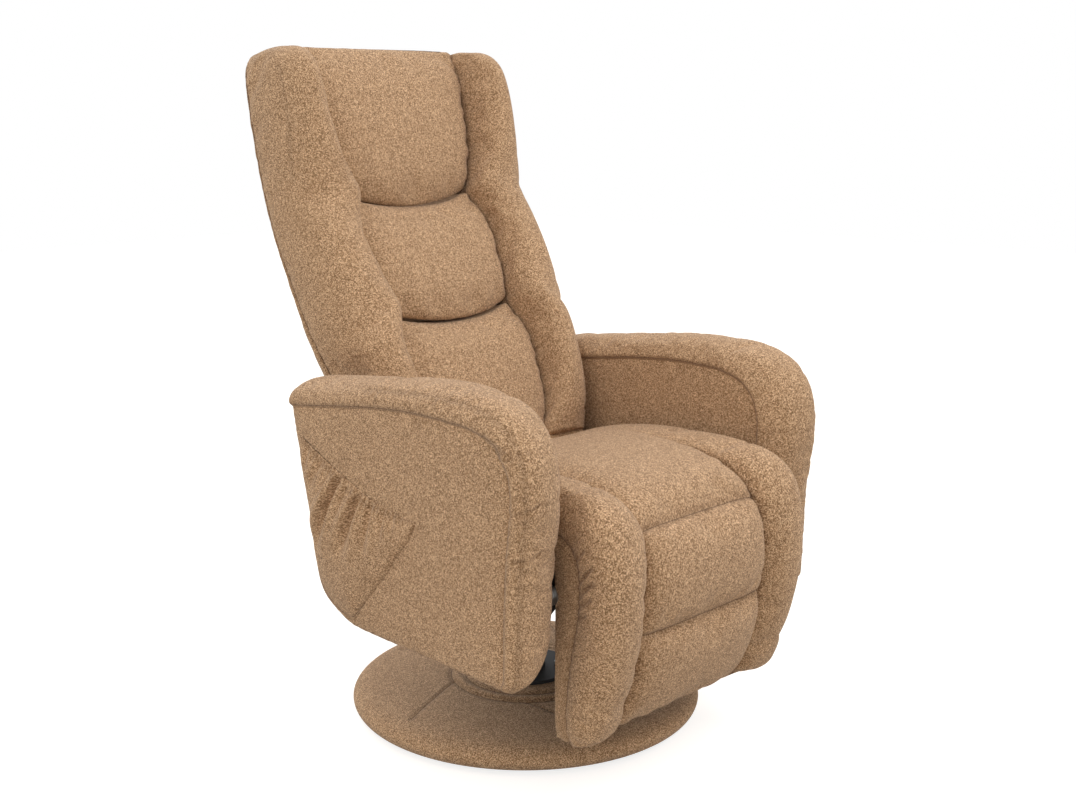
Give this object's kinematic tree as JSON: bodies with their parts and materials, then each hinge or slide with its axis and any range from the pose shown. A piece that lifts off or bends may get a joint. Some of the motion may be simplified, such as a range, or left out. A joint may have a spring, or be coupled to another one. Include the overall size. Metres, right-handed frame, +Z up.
{
  "type": "swivel recliner chair",
  "caption": "Upholstered swivel recliner on a round padded base, with padded arms, a leaning sectioned backrest and a leg rest that lifts as the back reclines.",
  "frame": {"origin": "on the floor, on the swivel axis", "axes": "+Z up, the chair faces -Y, +X is the sitter's left"},
  "size_m": [0.695, 0.8284, 1.0781],
  "materials": {
    "fabric": "beige melange woven upholstery fabric",
    "lining": "black non-woven lining",
    "webbing": "woven elastic webbing",
    "plywood": "raw birch plywood",
    "steel_black": "black powder coat, satin",
    "steel_grey": "zinc-plated steel",
    "plastic_black": "black moulded plastic"
  },
  "bodies": {
    "base": {"base_underside": "plastic_black", "base_weight": "steel_black", "base_board": "plywood", "base_cover": "fabric", "glide_feet": "plastic_black", "column": "steel_black", "column_bolts": "steel_grey", "swivel_spindle": "steel_grey", "lower_race": "steel_grey", "swivel_washer": "plastic_black", "spindle_nut": "steel_grey"},
    "chassis": {"upper_race": "steel_grey", "top_plate": "steel_black", "cross_members": "steel_black", "side_plate_left": "steel_black", "side_plate_right": "steel_black", "arm_brackets": "steel_black", "arm_bolts": "steel_grey", "seat_rail_left": "plywood", "seat_rail_right": "plywood", "seat_rail_front": "plywood", "seat_rail_rear": "plywood", "seat_straps": "webbing", "seat_cushion": "fabric", "seat_bolster_left": "fabric", "seat_bolster_right": "fabric", "arm_core_left": "plywood", "arm_core_right": "plywood", "arm_inner_panel_left": "fabric", "arm_inner_panel_right": "fabric", "arm_outer_panel_left": "fabric", "arm_outer_panel_right": "fabric", "arm_roll_left": "fabric", "arm_roll_right": "fabric", "side_pocket": "fabric", "knee_pins": "steel_grey", "recline_pins": "steel_grey"},
    "footrest": {"footrest_board": "plywood", "footrest_lining": "lining", "knee_pad": "fabric", "upper_leg_pad": "fabric", "lower_leg_pad": "fabric", "footrest_bolster_left": "fabric", "footrest_bolster_right": "fabric", "footrest_hinge_arm_left": "steel_black", "footrest_hinge_arm_right": "steel_black", "footrest_crank_pins": "steel_grey"},
    "back": {"back_board": "plywood", "back_nose": "fabric", "lumbar_cushion": "fabric", "middle_cushion": "fabric", "head_cushion": "fabric", "back_wing_left": "fabric", "back_wing_right": "fabric", "rear_cover": "fabric", "back_bracket_left": "steel_black", "back_bracket_right": "steel_black", "recline_crank_pins": "steel_grey"},
    "link_left": {"drive_link_left": "steel_grey"},
    "link_right": {"drive_link_right": "steel_grey"}
  },
  "joints": [
    {"name": "seat_swivel", "type": "hinge", "parent": "base", "child": "chassis", "pos_m": [0, 0, 0.2], "axis": [0, 0, 1], "continuous": true},
    {"name": "back_recline", "type": "hinge", "parent": "chassis", "child": "back", "pos_m": [0, 0.095, 0.385], "axis": [-1, 0, 0], "range_deg": [0, 36]},
    {"name": "footrest_lift", "type": "hinge", "parent": "chassis", "child": "footrest", "pos_m": [0, -0.296, 0.35], "axis": [-1, 0, 0], "range_deg": [0, 75]},
    {"name": "link_left_pivot", "type": "hinge", "parent": "back", "child": "link_left", "pos_m": [0, 0.12436, 0.29465], "axis": [-1, 0, 0], "range_deg": [-36, 0]},
    {"name": "link_right_pivot", "type": "hinge", "parent": "back", "child": "link_right", "pos_m": [0, 0.12436, 0.29465], "axis": [-1, 0, 0], "range_deg": [-36, 0]}
  ],
  "couplings": [
    {"joint": "footrest_lift", "follows": "back_recline", "ratio": 2.0833},
    {"joint": "link_left_pivot", "follows": "back_recline", "ratio": -1},
    {"joint": "link_right_pivot", "follows": "back_recline", "ratio": -1}
  ]
}
